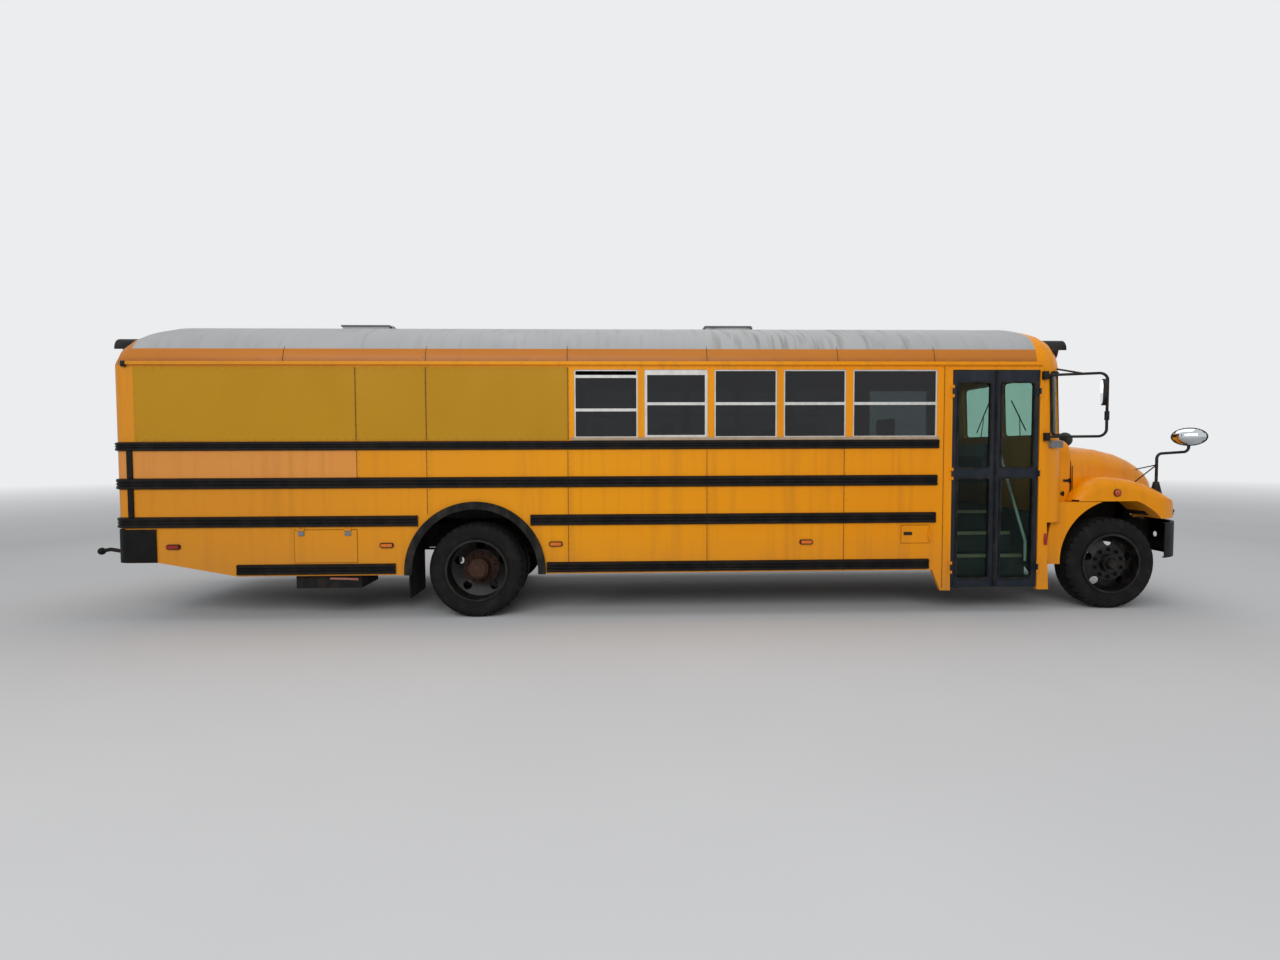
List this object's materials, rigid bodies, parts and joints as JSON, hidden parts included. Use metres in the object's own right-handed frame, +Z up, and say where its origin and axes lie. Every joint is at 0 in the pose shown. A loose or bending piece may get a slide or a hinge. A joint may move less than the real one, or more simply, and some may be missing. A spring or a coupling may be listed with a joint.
{
  "type": "conventional school bus",
  "caption": "Long-nosed yellow school bus with a tilting hood, two-leaf entrance door, windows, roof hatches, rear emergency door and twin rear wheels.",
  "frame": {"origin": "on the ground under the middle of the whole length and width, mirrors and coupling included", "axes": "+X forward, +Y to the driver's side, +Z up"},
  "size_m": [11.2666, 3.093, 3.0249],
  "materials": {
    "black_rubber": "matt moulded rubber, dusty",
    "mustard_sheet": "glossy mustard paint on flat sheet",
    "bumper_steel": "black paint on pressed steel, scuffed",
    "bus_yellow": "orange-yellow gloss enamel, streaked with dirt",
    "black_plastic": "moulded black plastic",
    "dash_plastic": "grained dark plastic",
    "door_paint": "navy-black satin paint",
    "tinted_glass": "dark tinted safety glass",
    "clear_glass": "lightly tinted laminated glass",
    "frame_steel": "black chassis paint with road dirt",
    "cast_iron": "dull painted casting",
    "rusty_steel": "brown oxidised steel",
    "floor_steel": "dark ribbed floor covering on steel",
    "lamp_glass": "clear lens over a bright reflector",
    "roof_grey": "pale grey heat-shield paint",
    "rail_black": "black satin paint on pressed steel",
    "seat_vinyl": "dark padded vinyl",
    "stop_red": "plain red reflective enamel",
    "frame_white": "pale anodised frames",
    "tyre_rubber": "worn road tyre rubber",
    "wheel_black": "black painted disc wheels, rusty hubs"
  },
  "bodies": {
    "root": {"arch_flares": "black_rubber", "blanking_sheets": "mustard_sheet", "bumpers": "bumper_steel", "cowl": "bus_yellow", "curb_side_wall": "bus_yellow", "dashboard": "dash_plastic", "drip_rails": "bus_yellow", "drive_shaft": "frame_steel", "driver_side_wall": "bus_yellow", "engine_block": "cast_iron", "exhaust": "rusty_steel", "fender_skirts": "bus_yellow", "fixed_glass": "tinted_glass", "floor": "floor_steel", "frame_rails": "frame_steel", "front_axle_beam": "frame_steel", "fuel_tank": "frame_steel", "leaf_springs": "frame_steel", "luggage_box": "frame_steel", "mud_flaps": "black_rubber", "rear_axle": "frame_steel", "rear_view_mirrors": "black_plastic", "rear_wall": "bus_yellow", "roof_front_cap": "bus_yellow", "roof_panels": "roof_grey", "roof_rear_cap": "bus_yellow", "rub_rails": "rail_black", "seats": "seat_vinyl", "step_well": "floor_steel", "tow_coupling": "frame_steel", "warning_lamps": "black_plastic", "window_frames": "frame_white", "windscreen": "clear_glass", "windscreen_frame": "bus_yellow"},
    "rear_left_wheel_set": {"rear_left_tyres": "tyre_rubber", "rear_left_wheels": "wheel_black"},
    "rear_right_wheel_set": {"rear_right_tyres": "tyre_rubber", "rear_right_wheels": "wheel_black"},
    "front_left_steering": {"front_left_knuckle": "frame_steel"},
    "front_right_steering": {"front_right_knuckle": "frame_steel"},
    "front_left_wheel_set": {"front_left_tyre": "tyre_rubber", "front_left_wheel": "wheel_black"},
    "front_right_wheel_set": {"front_right_tyre": "tyre_rubber", "front_right_wheel": "wheel_black"},
    "steering_wheel": {"steering_wheel": "black_plastic"},
    "tilt_hood": {"hood": "bus_yellow", "grille": "black_plastic", "headlamps": "lamp_glass", "cross_view_mirrors": "black_plastic"},
    "entrance_rear_leaf": {"door_leaf_rear": "door_paint", "door_leaf_rear_glass": "tinted_glass"},
    "entrance_front_leaf": {"door_leaf_front": "door_paint", "door_leaf_front_glass": "tinted_glass"},
    "rear_exit": {"emergency_door": "bus_yellow", "emergency_door_glass": "tinted_glass"},
    "luggage_flap": {"luggage_hatch": "bus_yellow"},
    "filler_flap": {"filler_door": "bus_yellow"},
    "front_roof_lid": {"roof_hatch_front": "roof_grey"},
    "rear_roof_lid": {"roof_hatch_rear": "roof_grey"},
    "stop_sign_arm": {"stop_arm": "stop_red"}
  },
  "joints": [
    {"name": "rear_left_wheel_spin", "type": "hinge", "parent": "root", "child": "rear_left_wheel_set", "pos_m": [-1.82735, 0.917, 0.466], "axis": [0, 1, 0], "continuous": true},
    {"name": "rear_right_wheel_spin", "type": "hinge", "parent": "root", "child": "rear_right_wheel_set", "pos_m": [-1.82735, -0.917, 0.466], "axis": [0, 1, 0], "continuous": true},
    {"name": "left_steer", "type": "hinge", "parent": "root", "child": "front_left_steering", "pos_m": [4.62465, 0.868, 0.466], "axis": [0, 0, 1], "range_deg": [-40, 40]},
    {"name": "right_steer", "type": "hinge", "parent": "root", "child": "front_right_steering", "pos_m": [4.62465, -0.868, 0.466], "axis": [0, 0, 1], "range_deg": [-40, 40]},
    {"name": "front_left_wheel_spin", "type": "hinge", "parent": "front_left_steering", "child": "front_left_wheel_set", "pos_m": [4.62465, 1.003, 0.466], "axis": [0, 1, 0], "continuous": true},
    {"name": "front_right_wheel_spin", "type": "hinge", "parent": "front_right_steering", "child": "front_right_wheel_set", "pos_m": [4.62465, -1.003, 0.466], "axis": [0, 1, 0], "continuous": true},
    {"name": "steering_wheel_turn", "type": "hinge", "parent": "root", "child": "steering_wheel", "pos_m": [3.50265, 0.56, 1.64], "axis": [-0.5736, 0, 0.8192], "range_deg": [-600, 600]},
    {"name": "hood_tilt", "type": "hinge", "parent": "root", "child": "tilt_hood", "pos_m": [5.44765, 0, 0.884], "axis": [0, 1, 0], "range_deg": [0, 60]},
    {"name": "entrance_front_leaf_swing", "type": "hinge", "parent": "root", "child": "entrance_front_leaf", "pos_m": [3.78365, -1.2285, 1.4], "axis": [0, 0, 1], "range_deg": [0, 90]},
    {"name": "entrance_rear_leaf_swing", "type": "hinge", "parent": "root", "child": "entrance_rear_leaf", "pos_m": [2.90265, -1.2285, 1.4], "axis": [0, 0, 1], "range_deg": [-90, 0]},
    {"name": "rear_exit_swing", "type": "hinge", "parent": "root", "child": "rear_exit", "pos_m": [-5.26335, -0.473, 1.63], "axis": [0, 0, 1], "range_deg": [0, 110]},
    {"name": "luggage_flap_lift", "type": "hinge", "parent": "root", "child": "luggage_flap", "pos_m": [-3.26585, -1.233, 0.8855], "axis": [-1, 0, 0], "range_deg": [0, 80]},
    {"name": "filler_flap_swing", "type": "hinge", "parent": "root", "child": "filler_flap", "pos_m": [2.68215, -1.233, 0.799], "axis": [0, 0, 1], "range_deg": [0, 100]},
    {"name": "front_roof_lid_lift", "type": "hinge", "parent": "root", "child": "front_roof_lid", "pos_m": [1.08065, 0, 3.016], "axis": [0, 1, 0], "range_deg": [0, 80]},
    {"name": "rear_roof_lid_lift", "type": "hinge", "parent": "root", "child": "rear_roof_lid", "pos_m": [-2.90135, 0, 3.016], "axis": [0, 1, 0], "range_deg": [0, 80]},
    {"name": "stop_arm_swing", "type": "hinge", "parent": "root", "child": "stop_sign_arm", "pos_m": [3.10265, 1.251, 1.495], "axis": [0, 0, 1], "range_deg": [0, 90]}
  ],
  "couplings": [
    {"joint": "right_steer", "follows": "left_steer", "ratio": 1},
    {"joint": "steering_wheel_turn", "follows": "left_steer", "ratio": 15},
    {"joint": "entrance_rear_leaf_swing", "follows": "entrance_front_leaf_swing", "ratio": -1}
  ]
}
